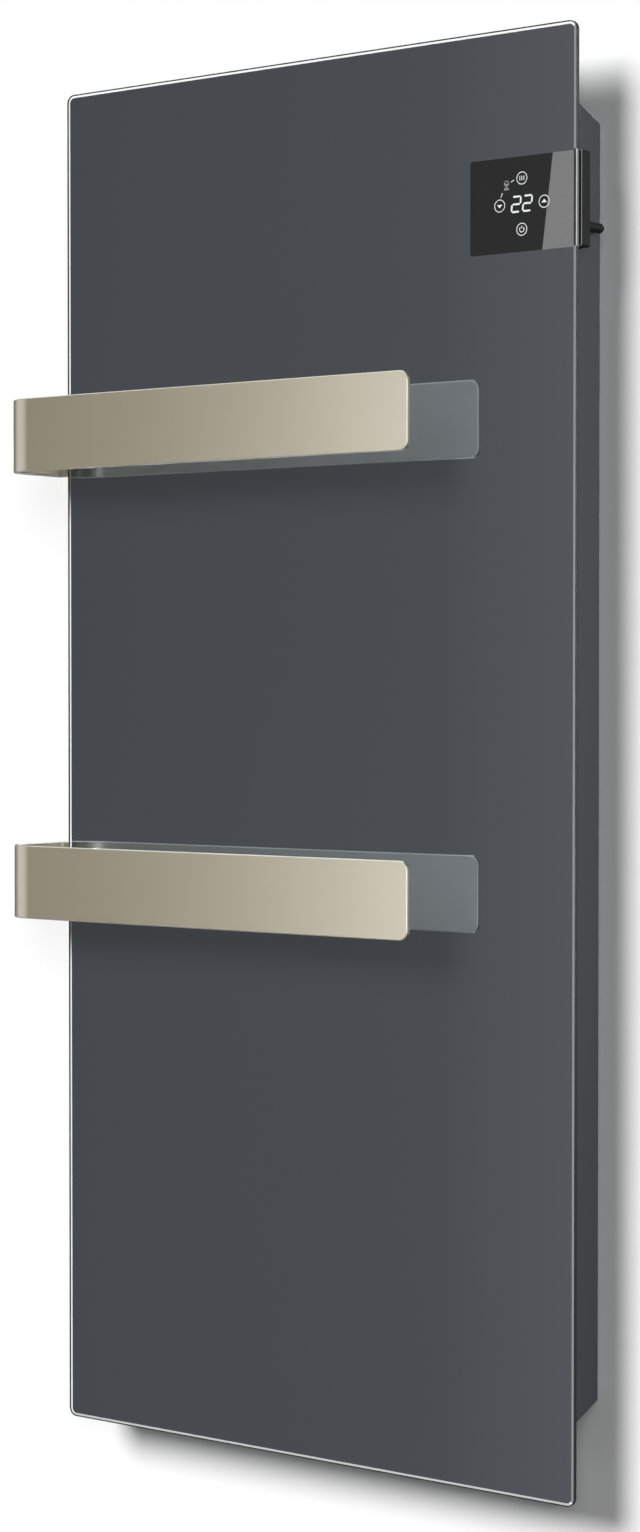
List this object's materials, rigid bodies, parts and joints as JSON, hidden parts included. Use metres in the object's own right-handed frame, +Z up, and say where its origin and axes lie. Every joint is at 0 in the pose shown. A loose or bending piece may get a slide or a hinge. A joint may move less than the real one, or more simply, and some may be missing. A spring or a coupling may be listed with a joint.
{
  "type": "towel warmer",
  "caption": "Wall-hung towel warmer: a heated dark glass panel on a folded metal casing, with bent flat towel rails across its front and a touch control behind the glass.",
  "frame": {"origin": "centre of the four wall fixing holes, on the wall's surface", "axes": "+X to the viewer's right, +Y into the wall, +Z up"},
  "size_m": [0.5332, 0.102, 1.1],
  "materials": {
    "slate_glass": "gloss",
    "casing_paint": "fine matt powder coat",
    "rail_aluminium": "satin anodised",
    "zinc_steel": "zinc plated",
    "rivet_aluminium": "satin",
    "black_gloss": "gloss",
    "black_matt": "fine matt texture",
    "heating_film": "satin laminate",
    "fibre_board": "felted fibre",
    "silicone": "matt",
    "circuit_board": "solder resist",
    "display_white": "diffuser",
    "contact_carbon": "matt",
    "brass": "satin",
    "relay_case": "satin",
    "module_case": "potted, satin",
    "cutout_case": "phenolic",
    "lead_sleeve": "silicone sleeve",
    "control_sleeve": "silicone sleeve",
    "supply_sleeve": "silicone sleeve",
    "earth_sleeve": "silicone sleeve",
    "white_plastic": "satin"
  },
  "bodies": {
    "wall_mount": {"upper_wall_bracket": "zinc_steel", "lower_wall_bracket": "zinc_steel"},
    "heater": {"glass_panel": "slate_glass", "heating_foil": "heating_film", "foil_terminals": "brass", "insulation_board": "fibre_board", "bond_frame": "silicone", "casing_tray": "casing_paint", "upper_towel_rail": "rail_aluminium", "lower_towel_rail": "rail_aluminium", "upper_rail_bracket": "zinc_steel", "lower_rail_bracket": "zinc_steel", "bracket_rivets": "rivet_aluminium", "rail_screws": "zinc_steel", "rail_nuts": "zinc_steel", "upper_slot_grommet": "black_matt", "lower_slot_grommet": "black_matt", "control_fascia": "black_gloss", "control_housing": "black_matt", "touch_board": "circuit_board", "display_module": "display_white", "touch_contacts": "contact_carbon", "control_screws": "zinc_steel", "room_sensor_probe": "black_matt", "power_board": "circuit_board", "board_standoffs": "brass", "board_screws": "zinc_steel", "power_relay": "relay_case", "power_module": "module_case", "thermal_cutout": "cutout_case", "heater_leads": "lead_sleeve", "cutout_leads": "lead_sleeve", "control_lead": "control_sleeve", "supply_leads": "supply_sleeve", "lead_clips": "white_plastic", "terminal_block": "white_plastic", "earth_lead": "earth_sleeve", "earth_stud": "zinc_steel", "earth_nut": "zinc_steel", "supply_gland": "black_matt", "gland_nut": "black_matt", "upper_cleat": "zinc_steel", "lower_cleat": "zinc_steel", "cleat_rivets": "rivet_aluminium"}
  },
  "joints": [
    {"name": "hang_lift", "type": "slide", "parent": "wall_mount", "child": "heater", "axis": [0, 0, 1], "range_m": [0, 0.016]}
  ]
}
